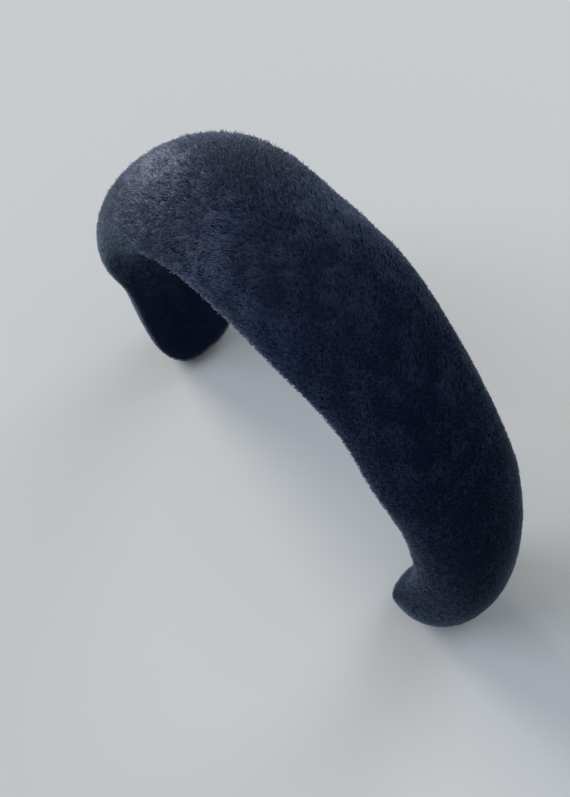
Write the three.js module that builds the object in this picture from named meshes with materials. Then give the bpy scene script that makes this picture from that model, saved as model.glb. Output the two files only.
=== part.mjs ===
// Padded headband: one thick soft pad covered in short fur, an arch that leaves the wearer's nape free.
// Millimetres, +Z up, +X to the wearer's left, -Y to the wearer's front. It stands on its two blunt ends.

import * as THREE from 'three';
import { mergeVertices } from 'three/addons/utils/BufferGeometryUtils.js';

// Middle line of the pad, an arch seen from the front
const ARCH_HALF_WIDTH = 88;
const CROWN_RISE = 84;
const SIDE_DROP = 96;
const TIP_ANGLE = THREE.MathUtils.degToRad(125);
const TIP_SET_BACK = 14;

// Section of the pad: width from front edge to back edge, loft on the outer side, backing on the inner side
const CROWN_WIDTH = 61;
const TIP_WIDTH = 48;
const CROWN_LOFT = 21.5;
const TIP_LOFT = 17;
const CROWN_BACKING = 7.5;
const TIP_BACKING = 6.5;
const SECTION_SQUARENESS = 2.1;

// How each end closes, and how the ends meet what the band stands on
const TIP_ROUNDING = 22;
const TIP_SQUARENESS = 2.7;
const LEAN_BACK = THREE.MathUtils.degToRad(6);
const PRESSED_DEPTH = 3;

// Soft swells and hollows of the stuffing: degrees from the crown towards the wearer's left, then how far the
// front edge, the back edge and the loft stand out from the plain form
const SWELLS = [
  { deg: -110, front: -5, back: -1, loft: 3 },
  { deg: -95, front: -5, back: -2, loft: 2 },
  { deg: -75, front: 1, back: 0, loft: 1 },
  { deg: -45, front: 1, back: 3, loft: 3 },
  { deg: -25, front: 0, back: 2, loft: 3 },
  { deg: -5, front: 0, back: 0, loft: 0 },
  { deg: 15, front: -1, back: 1, loft: 0 },
  { deg: 35, front: -5, back: -1, loft: 0 },
  { deg: 52, front: -5, back: -1, loft: 0 },
  { deg: 68, front: -8, back: 0, loft: 0 },
  { deg: 95, front: -8, back: -3, loft: 3 },
  { deg: 110, front: -5, back: -1, loft: 4 },
];

// Facets of the pad's skin, with this share of them crowded towards the tips
const STEPS_ALONG = 96;
const STEPS_AROUND = 40;
const CROWDING = 0.6;

const TO_THE_BACK = new THREE.Vector3(0, 1, 0);

class ArchLine extends THREE.Curve {
  getAngle(t) {
    return (2 * t - 1) * TIP_ANGLE;
  }

  getPoint(t, target = new THREE.Vector3()) {
    const angle = this.getAngle(t);
    const rise = Math.cos(angle) > 0 ? CROWN_RISE : SIDE_DROP;
    const nearTip = Math.abs(angle) / TIP_ANGLE;
    return target.set(ARCH_HALF_WIDTH * Math.sin(angle), TIP_SET_BACK * nearTip ** 2, rise * Math.cos(angle));
  }
}

const swellAt = new THREE.CubicInterpolant(
  SWELLS.map((row) => row.deg),
  SWELLS.flatMap((row) => [row.front, row.back, row.loft]),
  3,
);

// Signed power of a sine or cosine: squares up a circle into a superellipse
function squared(value, squareness) {
  return Math.sign(value) * Math.abs(value) ** (2 / squareness);
}

// How full the section is at a distance from the nearer tip: 0 at the tip, 1 past the rounding
function fullness(distance) {
  const closing = THREE.MathUtils.clamp(1 - distance / TIP_ROUNDING, 0, 1);
  return (1 - closing ** TIP_SQUARENESS) ** (1 / TIP_SQUARENESS);
}

// Point of the skin: along runs from 0 at the right tip to 1 at the left tip, around is the section's angle,
// from 0 at the back edge over the outer side
function skinPoint(line, along, around, target) {
  const angle = line.getAngle(line.getUtoTmapping(along));
  const nearTip = Math.abs(angle) / TIP_ANGLE;
  const closing = fullness(Math.min(along, 1 - along) * line.getLength());
  const [front, back, swell] = swellAt.evaluate(THREE.MathUtils.radToDeg(angle));

  const tangent = line.getTangentAt(along);
  const outward = new THREE.Vector3().crossVectors(tangent, TO_THE_BACK).normalize();
  const backward = new THREE.Vector3().crossVectors(outward, tangent);

  const halfWidth = THREE.MathUtils.lerp(CROWN_WIDTH, TIP_WIDTH, nearTip ** 2) / 2;
  const loft = THREE.MathUtils.lerp(CROWN_LOFT, TIP_LOFT, nearTip ** 2) + swell;
  const backing = THREE.MathUtils.lerp(CROWN_BACKING, TIP_BACKING, nearTip ** 2);
  const across = squared(Math.cos(around), SECTION_SQUARENESS);
  const up = squared(Math.sin(around), SECTION_SQUARENESS);

  target.copy(line.getPointAt(along));
  target.addScaledVector(backward, across * closing * (halfWidth + (across > 0 ? back : front)));
  target.addScaledVector(outward, up * closing * (up > 0 ? loft : backing));
}

// A sphere has the right closed net of facets: its poles become the two tips of the pad
function padSkin() {
  const line = new ArchLine();
  const skin = new THREE.SphereGeometry(1, STEPS_AROUND, STEPS_ALONG);
  skin.deleteAttribute('normal');
  skin.deleteAttribute('uv');
  const net = mergeVertices(skin, 1e-5);
  const points = net.getAttribute('position');
  const point = new THREE.Vector3();
  for (let i = 0; i < points.count; i += 1) {
    point.fromBufferAttribute(points, i);
    const polar = Math.acos(THREE.MathUtils.clamp(point.y, -1, 1)) / Math.PI;
    const around = Math.atan2(point.z, point.x);
    // Rings crowd towards the tips, where the pad is most curved
    const along = THREE.MathUtils.lerp(polar, (1 - point.y) / 2, CROWDING);
    skinPoint(line, along, around, point);
    points.setXYZ(i, point.x, point.y, point.z);
  }
  return net;
}

// The band tips back until it balances, and its soft ends are pressed flat where they stand
function standOnEnds(net) {
  net.rotateX(-LEAN_BACK);
  net.computeBoundingBox();
  net.translate(0, 0, -net.boundingBox.min.z - PRESSED_DEPTH);
  const points = net.getAttribute('position');
  for (let i = 0; i < points.count; i += 1) {
    points.setZ(i, Math.max(0, points.getZ(i)));
  }
  net.computeBoundingBox();
  const middle = net.boundingBox.getCenter(new THREE.Vector3());
  net.translate(-middle.x, -middle.y, 0);
  net.computeVertexNormals();
  return net;
}

const navyFur = new THREE.MeshStandardMaterial({ color: 0x1c2438, roughness: 0.95, metalness: 0 });

const paddedBand = new THREE.Mesh(standOnEnds(padSkin()), navyFur);
paddedBand.name = 'padded_band';

const headband = new THREE.Group();
headband.add(paddedBand);

export default headband;
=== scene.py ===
"""Padded headband covered in short navy plush, standing on its two blunt ends on a pale floor.

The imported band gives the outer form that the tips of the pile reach. Here it is made again as a padded
backing, set in by the depth of the pile, and the pile that grows out of it.
"""

import math

import bmesh
import bpy
import numpy as np
from mathutils import Matrix, Vector
from mathutils.kdtree import KDTree


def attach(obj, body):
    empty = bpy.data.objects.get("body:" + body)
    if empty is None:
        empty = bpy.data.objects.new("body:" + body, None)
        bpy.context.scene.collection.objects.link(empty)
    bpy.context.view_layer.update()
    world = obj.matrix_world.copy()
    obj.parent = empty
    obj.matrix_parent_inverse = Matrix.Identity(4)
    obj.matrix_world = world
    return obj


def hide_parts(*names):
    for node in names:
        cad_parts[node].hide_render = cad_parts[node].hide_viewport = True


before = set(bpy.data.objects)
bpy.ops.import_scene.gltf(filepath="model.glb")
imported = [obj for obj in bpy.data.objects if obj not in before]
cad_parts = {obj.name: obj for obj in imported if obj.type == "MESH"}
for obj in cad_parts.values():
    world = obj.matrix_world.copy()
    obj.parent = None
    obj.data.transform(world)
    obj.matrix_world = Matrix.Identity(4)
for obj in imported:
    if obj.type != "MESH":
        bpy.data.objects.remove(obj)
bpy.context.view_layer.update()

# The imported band, in metres: the arch is widest at this level above the floor
BAND = "padded_band"
WIDEST_LEVEL = 0.057
WELD_DISTANCE = 1e-6
TO_THE_BACK = np.array([0.0, 1.0, 0.0])
LEAST_LENGTH = 1e-12

# Depth of the pile on the outer and the inner side, the share of it down the sides and on the front edge,
# and how deep the roots stand in the backing
OUTER_PILE = 0.0020
INNER_PILE = 0.0017
SIDE_SHARE = 0.76
FRONT_EDGE_SHARE = 0.7
ROOT_DEPTH = 0.0005

# Hairs, and the tufts they gather in
HAIR_COUNT = 235_000
HAIR_WIDTH = 0.00021
TUFT_COUNT = 26_000
TUFT_PULL = 0.22
TUFT_PULL_RANGE = (0.5, 1.1)
INNER_DENSITY = 0.5
SEED = 11

# What makes some hairs longer than the pile is deep
CROWN_RAISE = 0.0003
FRONT_EDGE_UNRAISED = 0.6
BACK_TUFT_RAISE = 0.0002
STRAY_LENGTH = 0.0008
STRAY_RARITY = 8

# How far hairs and their roots stay above the floor
FLOOR_CLEARANCE = 0.0002
FLOOR_UNEVENNESS = 0.0006
ROOT_CLEARANCE = 0.0010

# How far the hairs lie over
FLATTEST_LEAN = math.radians(60)
FRONT_EDGE_LEAN = math.radians(14)
HOLLOW_UPRIGHT = math.radians(24)

# How the pile is combed. Each row has the turn, which is the degrees from the crown to the wearer's left,
# the share that turns to the back, the share combed in from the edges, the lean in degrees, how light the
# tips are, and how much they differ. How light the tips are holds painted light and shade as well as their
# tone: painted shade darkens the tips towards the ends
COMBED = [
    (-120, 0.3, 0.5, 26, 0.10, 0.16),
    (-90, 0.4, 0.7, 32, 0.26, 0.15),
    (-60, 0.6, 0.9, 38, 0.48, 0.22),
    (-40, -0.3, 0.3, 44, 0.55, 0.33),
    (-30, -0.7, 0.0, 43, 0.55, 0.33),
    (-22, -0.9, 0.0, 32, 0.37, 0.24),
    (-10, -0.8, 0.1, 34, 0.44, 0.15),
    (0, -0.6, 0.3, 36, 0.34, 0.14),
    (15, -0.3, 1.2, 38, 0.29, 0.13),
    (45, -0.2, 1.8, 38, 0.42, 0.15),
    (65, -1.1, 1.1, 38, 0.45, 0.17),
    (85, -1.2, 0.6, 30, 0.06, 0.15),
    (120, -0.8, 0.2, 24, -0.30, 0.10),
]

# Smooth rises, as their middle and their spread: along the arch in degrees of turn, and across the pad by
# how far the form faces the back, which is -1 at the front edge and 1 at the back edge
DEEP_ALONG = (-30, 38)
CROWN_ALONG = (-32, 34)
HOLLOW_ALONG = (-32, 20)
BACK_TUFTS_ALONG = (-22, 20)
LIGHT_TIPS_ALONG = (-34, 30)
PAINTED_LIGHT_ALONG = (-12, 9)
PAINTED_LIGHT_ACROSS = (-0.3, 0.35)
PAINTED_SHEEN_ACROSS = (-0.35, 0.45)

# Straight ramps held between 0 and 1, as their slope and offset: by how far the form faces outwards, then
# across the pad, then along the arch
OUTER_SIDE = (1.6, 1.06)
FRONT_EDGE = (-1.4, -0.4)
PAINTED_FRONT_LIGHT_ACROSS = (-2.2, -0.5)
BACK_TUFTS_ACROSS = (1.6, 0.0)
PAINTED_BACK_RIM_LIGHT_ACROSS = (2.4, -0.6)
HOLLOW_ACROSS = (3.0, 0.3)
RIGHT_SIDE_ALONG = (-0.05, -0.6)

# Profiles along the arch, as turns and the strength at each
PAINTED_SHEEN_ALONG = ((-46, -38, -24, -19.5), (0, 1, 1, 0))
PAINTED_BACK_RIM_LIGHT_ALONG = ((-16, 0, 25, 50, 62), (0, 1, 0.8, 0.5, 0))
PAINTED_FRONT_LIGHT_ALONG = ((-18, -3, 12, 45, 75), (0, 0.42, 0.32, 0.26, 0))

# The painted sheen on the crown slants: past this line across the pad its turn shifts by so many degrees,
# up to a reach
PAINTED_SHEEN_SLANT = 26
PAINTED_SHEEN_SLANT_FROM = -0.22
PAINTED_SHEEN_SLANT_REACH = 0.5

# Values that the crown adds to: the value elsewhere, and what it adds
CURL = (0.7, 1.3)
LOOSENESS = (0.6, 0.6)
STRAYS = (0.3, 0.7)
CLOUDING = (0.6, 0.4)
ROUNDNESS = (1.0, 1.1)
LIGHTEST = (0.70, 0.27)

# Ripples in the lay, the lean and the shade: size across, strength, and what the crown adds to it
SWIRL = [(0.040, 0.25, 0)]
RUFFLE = [(0.022, 0.18, 0), (0.008, 0.36, -0.16)]
CLOUD = [(0.028, 0.12, 0), (0.012, 0.08, 0)]
MOTTLE = [(0.0045, 0.12, 0.02), (0.008, 0.09, 0)]
RIPPLE_WAVES = 7
RIPPLE_WAVE_RANGE = (0.5, 1.1)
RIPPLE_CREST = 3.0

# Random differences from hair to hair and from tuft to tuft
LAY_BY_HAIR = 0.40
LAY_BY_TUFT = 0.42
LEAN_BY_HAIR = 0.12
LEAN_BY_TUFT = 0.10
RAISE_BY_TUFT = 0.45
LENGTH_BY_HAIR = 0.085
LENGTH_BY_TUFT = 0.08
SHADE_BY_HAIR = 1.0
SHADE_BY_TUFT = 0.65
FRONT_EDGE_CALM = 0.3

# How much lighter or darker each area is, on the scale from 0 to 1 of the tips' shade. Past the ruffle's
# # share, these are painted light and painted shade; the last is the darkest a tip gets
RUFFLE_SHADE = 0.6
PAINTED_SHEEN_LIGHTENING = 0.45
PAINTED_LIGHT_LIGHTENING = 0.14
PAINTED_BACK_RIM_LIGHT = 0.30
HOLLOW_PAINTED_SHADE = -0.75
RIGHT_EDGE_PAINTED_SHADE = -0.50
DARKEST = 0.03

# Each hair is a closed wedge of four points: its root and the three corners of its tip. The map's U holds
# its shade, spread a little so that its faces keep some area there, and the map's V the height up the hair
HAIR_POINTS = 4
TIP_CORNERS = 3
HAIR_FACES = np.array([[0, 2, 1], [0, 3, 2], [0, 1, 3], [1, 2, 3]])
SHADE_ACROSS_HAIR = np.array([0, -0.0015, 0, 0.0015])
HEIGHT_UP_HAIR = np.array([0.01, 0.99, 0.99, 0.97])
MAP_NAME = "OFBake"
PILE_PIECES = ["pile_right_end", "pile_right_side", "pile_crown", "pile_left_side", "pile_left_end"]

# Colours of the plush and of its knitted ground
NAVY_DEEP = (0.0054, 0.0092, 0.026, 1)
NAVY_LIGHT = (0.0285, 0.0435, 0.100, 1)
GREY_GLINT = (0.310, 0.314, 0.340, 1)
BLUE_SHEEN = (0.60, 0.73, 0.96, 1)
GLINT_SHADE_POWER = 10.0
GLINT_HEIGHT_POWER = 5.0
GROUND_DEEP = (0.003, 0.0055, 0.018, 1)
GROUND_LIGHT = (0.009, 0.016, 0.048, 1)
KNIT_SCALE = 1400.0
KNIT_RELIEF = 0.0004

# Floor and light. Each soft lamp has the side it shines from, how many degrees of sky it covers, its
# strength and its colour
FLOOR_HALF_SIZE = 12.0
FLOOR_COLOUR = (0.54, 0.536, 0.53, 1)
SKY_COLOUR = (0.82, 0.91, 1.0, 1)
SKY_STRENGTH = 0.43
LAMPS = {
    "main_light": ((-2.86, -0.32, 1.06), 29, 3.3, (1.0, 0.925, 0.82)),
    "back_light": ((-0.60, 2.50, 1.34), 38, 1.11, (0.85, 0.93, 1.0)),
    "front_light": ((-1.2, -1.8, 2.34), 35, 1.3, (0.78, 0.87, 1.0)),
}

# The photograph's viewpoint, about the band
VIEW_AZIMUTH = math.radians(56.2)
VIEW_ELEVATION = math.radians(60.9)
VIEW_ROLL = math.radians(-6.7)
VIEW_DISTANCE = 0.457
VIEW_AIM = Vector((0.0050, -0.0131, 0.0736))
LENS = 54
FRAME_HEIGHT = 36
NEAREST_SEEN = 0.01


class Link:
    """A socket's output, with the sums that the finishes use."""

    def __init__(self, finish, socket):
        self.finish = finish
        self.socket = socket

    def _math(self, operation, first, second):
        return self.finish.node("ShaderNodeMath", {"operation": operation}, {0: first, 1: second})

    def __mul__(self, other):
        return self._math("MULTIPLY", self, other)

    def __pow__(self, power):
        return self._math("POWER", self, power)

    def __rpow__(self, base):
        return self._math("POWER", base, self)

    __rmul__ = __mul__


class Finish:
    """A material and its nodes."""

    def __init__(self, name, sockets):
        self.material = bpy.data.materials.new(name)
        self.material.use_nodes = True
        self.tree = self.material.node_tree
        self.shader = self.tree.nodes["Principled BSDF"]
        self.feed(self.shader, sockets)

    def feed(self, node, sockets):
        """Sets or links a node's sockets, by their names or numbers."""
        for key, value in sockets.items():
            if isinstance(value, Link):
                self.tree.links.new(value.socket, node.inputs[key])
            else:
                node.inputs[key].default_value = value

    def node(self, kind, settings, sockets, output=0):
        """A node of any type, with its settings and the values or links of its sockets."""
        made = self.tree.nodes.new(kind)
        for key, value in settings.items():
            setattr(made, key, value)
        self.feed(made, sockets)
        return Link(self, made.outputs[output])

    def mix(self, share, low, high):
        """A colour between low and high."""
        return self.node("ShaderNodeMix", {"data_type": "RGBA"}, {0: share, 6: low, 7: high}, output=2)


def pile_finish():
    """Navy plush: each hair is darker at its root and has its own shade, with painted light and shade laid
    into it, and the lightest tips glint.
    """
    finish = Finish(
        "navy_plush",
        {
            "Roughness": 0.62,
            "Specular IOR Level": 0.12,
            "Sheen Weight": 0.75,
            "Sheen Roughness": 0.35,
            "Sheen Tint": BLUE_SHEEN,
        },
    )
    place = finish.node("ShaderNodeUVMap", {"uv_map": MAP_NAME}, {})
    shade, height = (finish.node("ShaderNodeSeparateXYZ", {}, {0: place}, output) for output in (0, 1))
    dyed = finish.mix(shade * height, NAVY_DEEP, NAVY_LIGHT)
    glint = shade**GLINT_SHADE_POWER * height**GLINT_HEIGHT_POWER
    finish.feed(finish.shader, {"Base Color": finish.mix(glint, dyed, GREY_GLINT)})
    return finish.material


def backing_finish():
    """The knitted ground of the plush, dark between the roots."""
    finish = Finish("plush_backing", {"Roughness": 0.95, "Specular IOR Level": 0.1})
    place = finish.node("ShaderNodeTexCoord", {}, {}, output=3)
    knit = finish.node("ShaderNodeTexNoise", {}, {"Vector": place, "Scale": KNIT_SCALE, "Detail": 2.0})
    bump = finish.node("ShaderNodeBump", {}, {"Height": knit, "Distance": KNIT_RELIEF, "Strength": 0.6})
    finish.feed(finish.shader, {"Base Color": finish.mix(knit, GROUND_DEEP, GROUND_LIGHT), "Normal": bump})
    return finish.material


def put_in_scene(name, data):
    """An object at the origin with the given mesh, lamp or camera."""
    made = bpy.data.objects.new(name, data)
    bpy.context.scene.collection.objects.link(made)
    return made


def piece_from(net, name, material):
    """An object made from a bmesh, which is freed."""
    mesh = bpy.data.meshes.new(name)
    net.to_mesh(mesh)
    net.free()
    mesh.materials.append(material)
    return put_in_scene(name, mesh)


def unit(vectors):
    """The same directions, one long."""
    return vectors / np.maximum(np.linalg.norm(vectors, axis=1, keepdims=True), LEAST_LENGTH)


def around(values, middle, spread):
    """A smooth rise: 1 at the middle, falling away on both sides."""
    return np.exp(-(((values - middle) / spread) ** 2))


def ramp(values, slope, offset):
    """A straight ramp held between 0 and 1."""
    return np.clip(slope * values + offset, 0, 1)


def raised(share, value, addition):
    """The value, with as much of the addition as the share says."""
    return value + addition * share


def ripple(places, size, rng):
    """A smooth random field from -1 to 1 whose swells are about the given size across."""
    field = np.zeros(len(places))
    for _ in range(RIPPLE_WAVES):
        direction = unit(rng.normal(size=(1, 3)))[0]
        wave = direction * (math.tau / size) * rng.uniform(*RIPPLE_WAVE_RANGE)
        field += np.sin(places @ wave + rng.uniform(0, math.tau))
    return np.clip(field / RIPPLE_CREST, -1, 1)


def turn_along(places):
    """Degrees from the crown towards the wearer's left end."""
    return np.degrees(np.arctan2(places[:, 0], places[:, 2] - WIDEST_LEVEL))


def arch_directions(places):
    """At each place: outwards from the arch, and down along it towards the wearer's left end."""
    turn = np.radians(turn_along(places))
    zero = np.zeros_like(turn)
    outwards = np.stack([np.sin(turn), zero, np.cos(turn)], 1)
    leftwards = np.stack([np.cos(turn), zero, -np.sin(turn)], 1)
    return outwards, leftwards


def outer_share(places, normals):
    """1 on the outer side of the pad, 0 on its inner side."""
    outwards, _ = arch_directions(places)
    return ramp((normals * outwards).sum(1), *OUTER_SIDE)


def pile_depth(places, normals):
    """How deep the pile is: deepest by the crown, close cropped on the inner side and the front edge."""
    depth = INNER_PILE + (OUTER_PILE - INNER_PILE) * outer_share(places, normals)
    deepest = around(turn_along(places), *DEEP_ALONG)
    cropped = SIDE_SHARE + (1 - SIDE_SHARE) * deepest
    return depth * cropped * (1 - (1 - FRONT_EDGE_SHARE) * ramp(normals[:, 1], *FRONT_EDGE))


def band_form():
    """The band's outer form as one welded net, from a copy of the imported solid."""
    net = bmesh.new()
    net.from_mesh(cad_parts[BAND].data)
    bmesh.ops.remove_doubles(net, verts=net.verts, dist=WELD_DISTANCE)
    net.normal_update()
    return net


def backing(form):
    """The stuffed pad under the pile: the form set in by the depth of the pile."""
    form.verts.ensure_lookup_table()
    places = np.array([v.co for v in form.verts])
    normals = np.array([v.normal for v in form.verts])
    depth = pile_depth(places, normals) - ROOT_DEPTH
    net = form.copy()
    net.verts.ensure_lookup_table()
    for vertex, inward in zip(net.verts, normals * depth[:, None]):
        vertex.co -= Vector(inward)
    bmesh.ops.subdivide_edges(net, edges=net.edges, cuts=1, use_grid_fill=True, smooth=0.0)
    for face in net.faces:
        face.smooth = True
    return piece_from(net, "pad_backing", backing_finish())


def scatter(form, count, rng):
    """Places spread evenly over the form, sparser on its inner side, with the form's normals there."""
    bmesh.ops.triangulate(form, faces=form.faces)
    form.verts.index_update()
    corners = np.array([[v.index for v in f.verts] for f in form.faces])
    places = np.array([v.co for v in form.verts])
    normals = np.array([v.normal for v in form.verts])
    a, b, c = (places[corners[:, i]] for i in range(3))
    crossed = np.cross(b - a, c - a)
    area = np.linalg.norm(crossed, axis=1)
    area *= INNER_DENSITY + (1 - INNER_DENSITY) * outer_share((a + b + c) / 3, unit(crossed))
    chosen = rng.choice(len(corners), size=count, p=area / area.sum())
    one = np.sqrt(rng.random(count))
    two = rng.random(count)
    weights = np.stack([1 - one, one * (1 - two), one * two], 1)[:, :, None]
    picked = corners[chosen]
    return (places[picked] * weights).sum(1), unit((normals[picked] * weights).sum(1))


class Ground:
    """The places that the hairs grow from, how the pile lies there, and the tufts that the hairs share."""

    def __init__(self, form, rng):
        self.rng = rng
        self.places, self.normals = scatter(form, HAIR_COUNT, rng)
        self.turn = turn_along(self.places)
        self.facing_back = self.normals[:, 1]
        self.outer = outer_share(self.places, self.normals)
        self.front_edge = ramp(self.facing_back, *FRONT_EDGE)
        self.crown = around(self.turn, *CROWN_ALONG)
        self.hollow = around(self.turn, *HOLLOW_ALONG) * ramp(self.facing_back, *HOLLOW_ACROSS)
        self.depth = pile_depth(self.places, self.normals)
        self.roots = self.places - self.normals * self.depth[:, None]
        turns, *columns = np.transpose(COMBED)
        combed = (np.interp(self.turn, turns, column) for column in columns)
        self.to_back, self.from_edges, self.combed_lean, self.lightness, self.difference = combed
        self.gather_in_tufts()

    def gather_in_tufts(self):
        """Gives each hair the nearest tuft, and the way from its root to the tuft's middle."""
        centres = self.rng.choice(HAIR_COUNT, TUFT_COUNT, replace=False)
        tree = KDTree(TUFT_COUNT)
        for number, centre in enumerate(centres):
            tree.insert(self.roots[centre], number)
        tree.balance()
        self.tuft = np.array([tree.find(root)[1] for root in self.roots])
        self.to_tuft = self.roots[centres[self.tuft]] - self.roots

    def by_hair(self, spread, *shape):
        """A random difference for each hair."""
        return self.rng.normal(0, spread, (HAIR_COUNT, *shape))

    def by_tuft(self, spread, *shape):
        """A random difference that the hairs of a tuft share."""
        return self.rng.normal(0, spread, (TUFT_COUNT, *shape))[self.tuft]

    def ripples(self, rows):
        """Ripples laid over each other."""
        return sum(raised(self.crown, *row) * ripple(self.places, size, self.rng) for size, *row in rows)


def lay_of_pile(ground):
    """The way each hair lies: along the band to the wearer's right, and across it as it is combed."""
    _, leftwards = arch_directions(ground.places)
    across = ground.to_back - ground.from_edges * ground.facing_back + ground.ripples(SWIRL)
    lay = across[:, None] * TO_THE_BACK - leftwards
    lay += ground.by_hair(LAY_BY_HAIR, 3) + ground.by_tuft(LAY_BY_TUFT, 3)
    lay -= ground.normals * (lay * ground.normals).sum(1)[:, None]
    return unit(lay)


def hair_leans(ground, ruffle):
    """How far each hair lies over: more on the front edge, and less in the hollow behind the crown."""
    lean = np.radians(ground.combed_lean) + ruffle
    lean += FRONT_EDGE_LEAN * ground.front_edge - HOLLOW_UPRIGHT * ground.hollow
    lean += ground.by_hair(LEAN_BY_HAIR)
    lean += raised(ground.crown, *CURL) * ground.by_tuft(LEAN_BY_TUFT)
    return np.clip(lean, 0, FLATTEST_LEAN)


def hair_lengths(ground, lean):
    """How long each hair is, so that it reaches the pile's height as it lies, give or take."""
    back_tufts = around(ground.turn, *BACK_TUFTS_ALONG) * ramp(ground.facing_back, *BACK_TUFTS_ACROSS)
    fullness = ground.crown * ground.outer * (1 - FRONT_EDGE_UNRAISED * ground.front_edge)
    height = ground.depth + CROWN_RAISE * fullness
    height += BACK_TUFT_RAISE * back_tufts * ground.outer * (1 + ground.by_tuft(RAISE_BY_TUFT))
    height += STRAY_LENGTH * raised(ground.crown, *STRAYS) * ground.rng.random(HAIR_COUNT) ** STRAY_RARITY
    loose = raised(ground.crown, *LOOSENESS) - FRONT_EDGE_CALM * ground.front_edge * (1 - ground.crown)
    length = height / np.cos(lean)
    length *= 1 + loose * ground.by_hair(LENGTH_BY_HAIR)
    length *= 1 + loose * ground.by_tuft(LENGTH_BY_TUFT)
    return length


def hair_tips(ground, lay, lean, length):
    """Where each hair ends: drawn to the middle of its tuft, and just above the floor."""
    pull = TUFT_PULL * ground.rng.uniform(*TUFT_PULL_RANGE, TUFT_COUNT)[ground.tuft]
    growth = ground.normals * np.cos(lean)[:, None] + lay * np.sin(lean)[:, None]
    tips = ground.roots + growth * length[:, None] + ground.to_tuft * pull[:, None]
    lowest = FLOOR_CLEARANCE + ground.rng.uniform(0, FLOOR_UNEVENNESS, HAIR_COUNT)
    tips[:, 2] = np.maximum(tips[:, 2], lowest)
    return tips


def hair_shades(ground, ruffle):
    """How light each hair's tip is, from 0 to 1: its tone, with painted light and painted shade laid over
    it.
    """
    turn = ground.turn
    back = ground.facing_back
    past_line = np.clip(back - PAINTED_SHEEN_SLANT_FROM, 0, PAINTED_SHEEN_SLANT_REACH)
    slanted = turn + PAINTED_SHEEN_SLANT * past_line
    clouds = ground.ripples(CLOUD) + RUFFLE_SHADE * ruffle
    shade = ground.lightness + raised(ground.crown, *CLOUDING) * clouds + ground.ripples(MOTTLE)
    # Painted sheen: the crown's tips made paler where the light grazes the pile
    shade += PAINTED_SHEEN_LIGHTENING * np.interp(slanted, *PAINTED_SHEEN_ALONG) * around(back, *PAINTED_SHEEN_ACROSS)
    # Painted light: a lighter stretch of tips just to the wearer's right of the crown, on its front half
    shade += PAINTED_LIGHT_LIGHTENING * around(turn, *PAINTED_LIGHT_ALONG) * around(back, *PAINTED_LIGHT_ACROSS)
    # Painted shade: darker tips in the hollow behind the crown, where its own pile shades it
    shade += HOLLOW_PAINTED_SHADE * ground.hollow
    # Painted light: a lighter rim along the back edge, where light from behind catches the pile
    shade += PAINTED_BACK_RIM_LIGHT * np.interp(turn, *PAINTED_BACK_RIM_LIGHT_ALONG) * ramp(back, *PAINTED_BACK_RIM_LIGHT_ACROSS)
    # Painted light: a lighter front edge on the wearer's left side, where light from the front catches it
    shade += np.interp(turn, *PAINTED_FRONT_LIGHT_ALONG) * ramp(back, *PAINTED_FRONT_LIGHT_ACROSS)
    # Painted shade: a darker front edge on the wearer's right side of the crown
    shade += RIGHT_EDGE_PAINTED_SHADE * ground.front_edge * ramp(turn, *RIGHT_SIDE_ALONG)
    shade += ground.difference * ground.by_hair(SHADE_BY_HAIR)
    shade += ground.difference * ground.by_tuft(SHADE_BY_TUFT)
    return np.clip(shade, DARKEST, raised(around(turn, *LIGHT_TIPS_ALONG), *LIGHTEST))


def hairs(form, rng):
    """Every hair's root, tip, ground normal, shade, and how round its tip is shaded."""
    ground = Ground(form, rng)
    lay = lay_of_pile(ground)
    ruffle = ground.ripples(RUFFLE)
    lean = hair_leans(ground, ruffle)
    tips = hair_tips(ground, lay, lean, hair_lengths(ground, lean))
    shade = hair_shades(ground, ruffle)
    ground.roots[:, 2] = np.maximum(ground.roots[:, 2], ROOT_CLEARANCE)
    return ground.roots, tips, ground.normals, shade, raised(ground.crown, *ROUNDNESS)


def hair_wedges(roots, tips, normals, roundness, rng):
    """The points of each hair, thin at its root and cut aslant at its tip, and their shading normals."""
    count = len(roots)
    along = unit(tips - roots)
    side = unit(np.cross(along, rng.normal(size=(count, 3))))
    other = np.cross(along, side)
    points = np.empty((count, HAIR_POINTS, 3), np.float32)
    facing = np.empty((count, HAIR_POINTS, 3), np.float32)
    points[:, 0] = roots
    facing[:, 0] = normals
    slant = rng.uniform(0, math.tau, count)
    for corner in range(TIP_CORNERS):
        angle = math.tau * corner / TIP_CORNERS
        offset = (side * math.cos(angle) + other * math.sin(angle)) * (HAIR_WIDTH / 2)
        cut = along * (np.cos(slant - angle) * HAIR_WIDTH)[:, None]
        points[:, 1 + corner] = tips + offset + cut
        facing[:, 1 + corner] = normals + (roundness / HAIR_WIDTH)[:, None] * offset
    points[:, :, 2] = np.maximum(points[:, :, 2], FLOOR_CLEARANCE)
    return points, unit(facing.reshape(-1, 3))


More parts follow.
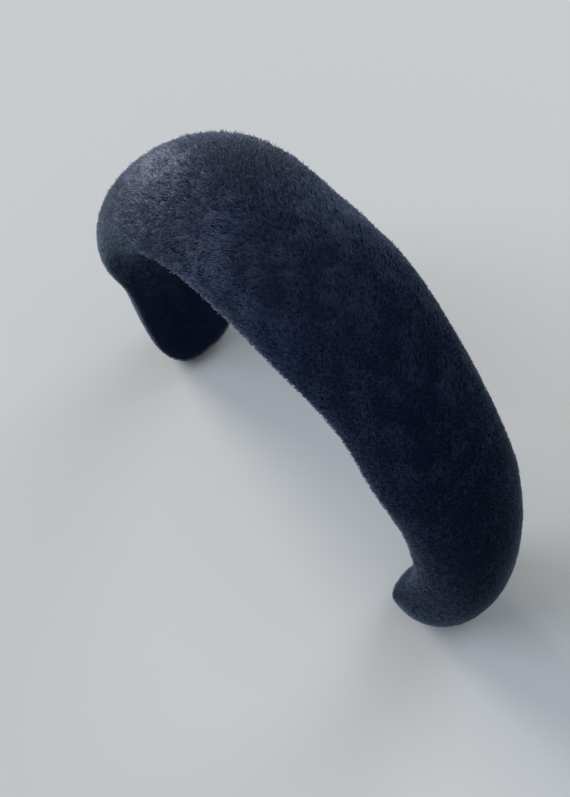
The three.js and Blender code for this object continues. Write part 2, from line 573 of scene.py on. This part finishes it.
def pile_piece(name, roots, tips, normals, shade, roundness, rng, material):
    """One piece of the pile: its hairs' wedges as one mesh, with their shades and heights in its map."""
    count = len(roots)
    points, facing = hair_wedges(roots, tips, normals, roundness, rng)
    corners = (HAIR_FACES[None] + HAIR_POINTS * np.arange(count)[:, None, None]).reshape(-1)
    place = np.empty((count, HAIR_POINTS, 2), np.float32)
    place[:, :, 0] = shade[:, None] + SHADE_ACROSS_HAIR
    place[:, :, 1] = HEIGHT_UP_HAIR

    mesh = bpy.data.meshes.new(name)
    mesh.vertices.add(count * HAIR_POINTS)
    mesh.vertices.foreach_set("co", points.reshape(-1))
    mesh.loops.add(len(corners))
    mesh.loops.foreach_set("vertex_index", corners.astype(np.int32))
    mesh.polygons.add(count * len(HAIR_FACES))
    mesh.polygons.foreach_set("loop_start", np.arange(0, len(corners), 3, dtype=np.int32))
    mesh.update(calc_edges=True)
    mesh.normals_split_custom_set_from_vertices(facing)
    layer = mesh.uv_layers.new(name=MAP_NAME)
    layer.uv.foreach_set("vector", place.reshape(-1, 2)[corners].reshape(-1))
    mesh.materials.append(material)
    return put_in_scene(name, mesh)


def pile(form, rng):
    """The whole pile, in pieces that lie side by side along the arch."""
    grown = hairs(form, rng)
    turn = turn_along(grown[0])
    edges = np.quantile(turn, np.linspace(0, 1, len(PILE_PIECES) + 1))
    material = pile_finish()
    pieces = []
    for number, name in enumerate(PILE_PIECES):
        here = (turn >= edges[number]) & (turn <= edges[number + 1])
        pieces.append(pile_piece(name, *(part[here] for part in grown), rng, material))
    return pieces


def floor():
    """A plain pale floor."""
    net = bmesh.new()
    bmesh.ops.create_grid(net, x_segments=1, y_segments=1, size=FLOOR_HALF_SIZE)
    sockets = {"Base Color": FLOOR_COLOUR, "Roughness": 0.9, "Specular IOR Level": 0.2}
    return piece_from(net, "floor", Finish("pale_floor", sockets).material)


def lights():
    """Soft lamps from far off, and an even pale sky."""
    sky = bpy.data.worlds.new("pale_sky")
    sky.use_nodes = True
    sky.node_tree.nodes["Background"].inputs["Color"].default_value = SKY_COLOUR
    sky.node_tree.nodes["Background"].inputs["Strength"].default_value = SKY_STRENGTH
    bpy.context.scene.world = sky
    for name, (place, spread, strength, colour) in LAMPS.items():
        lamp = bpy.data.lights.new(name, "SUN")
        lamp.angle = math.radians(spread)
        lamp.energy = strength
        lamp.color = colour
        made = put_in_scene(name, lamp)
        made.location = place
        made.rotation_euler = (VIEW_AIM - Vector(place)).to_track_quat("-Z", "Y").to_euler()
    bpy.context.scene.view_settings.view_transform = "Standard"


def camera():
    """The photograph's view of the band."""
    flat = math.cos(VIEW_ELEVATION)
    leftwards = math.sin(VIEW_AZIMUTH) * flat
    backwards = -math.cos(VIEW_AZIMUTH) * flat
    behind = Vector((leftwards, backwards, math.sin(VIEW_ELEVATION)))
    level = Vector((math.cos(VIEW_AZIMUTH), math.sin(VIEW_AZIMUTH), 0))
    right = level * math.cos(VIEW_ROLL) + behind.cross(level) * math.sin(VIEW_ROLL)
    up = behind.cross(right)
    lens = bpy.data.cameras.new("camera")
    lens.sensor_fit = "VERTICAL"
    lens.sensor_height = FRAME_HEIGHT
    lens.lens = LENS
    lens.clip_start = NEAREST_SEEN
    made = put_in_scene("camera", lens)
    place = Matrix((right, up, behind)).transposed().to_4x4()
    place.translation = VIEW_AIM + behind * VIEW_DISTANCE
    made.matrix_world = place
    bpy.context.scene.camera = made


camera()
lights()
floor()

shape = band_form()
pad = backing(shape)
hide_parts(BAND)
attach(pad, "root")

for piece in pile(shape, np.random.default_rng(SEED)):
    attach(piece, "root")
shape.free()
